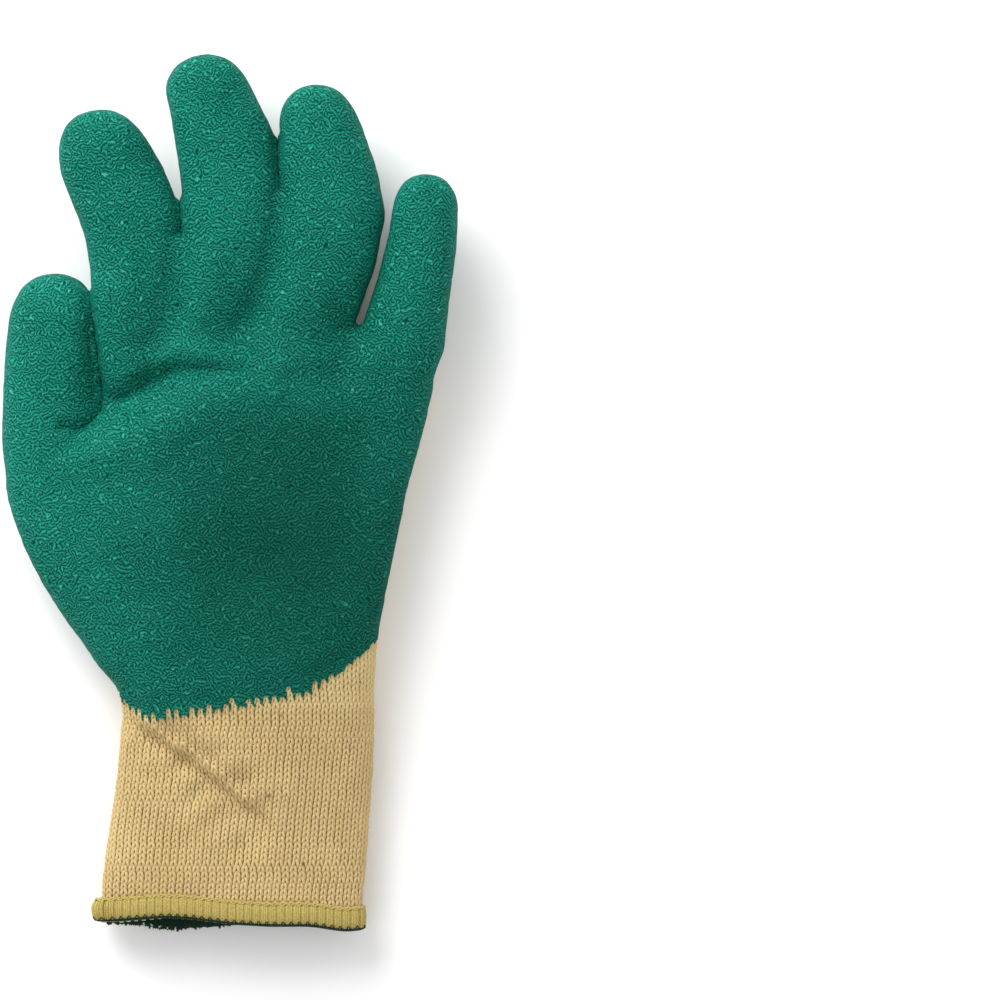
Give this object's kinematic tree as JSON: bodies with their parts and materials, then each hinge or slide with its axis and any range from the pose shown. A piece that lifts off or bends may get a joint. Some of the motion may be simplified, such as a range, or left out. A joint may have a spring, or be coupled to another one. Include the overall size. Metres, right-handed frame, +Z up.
{
  "type": "latex coated grip glove",
  "caption": "Seamless knit work glove with a crinkled latex coat over palm, thumb and fingertips, knit cuff and overlocked hem, lying palm up",
  "frame": {"origin": "under the middle of the glove's bounding box, on the surface it lies on", "axes": "+Y from the cuff to the fingertips, +Z up and out of the palm, +X to the little finger's side"},
  "size_m": [0.1362, 0.261, 0.032],
  "materials": {
    "knit": "cotton and polyester yarn, plain knit, matt, unbleached cream",
    "cuff_knit": "the same yarn knitted with elastic, fine upright ribs, matt",
    "latex": "natural latex, dark green, crinkled for grip, low sheen",
    "overlock_yarn": "yellow polyester overlock yarn, fine upright stitches",
    "inner_yarn": "dark green polyester overlock yarn, small loops"
  },
  "bodies": {
    "root": {"knit_hand": "knit", "knit_cuff": "cuff_knit", "latex_coat": "latex", "hem_overlock": "overlock_yarn", "hem_inner_yarn": "inner_yarn"}
  },
  "joints": []
}
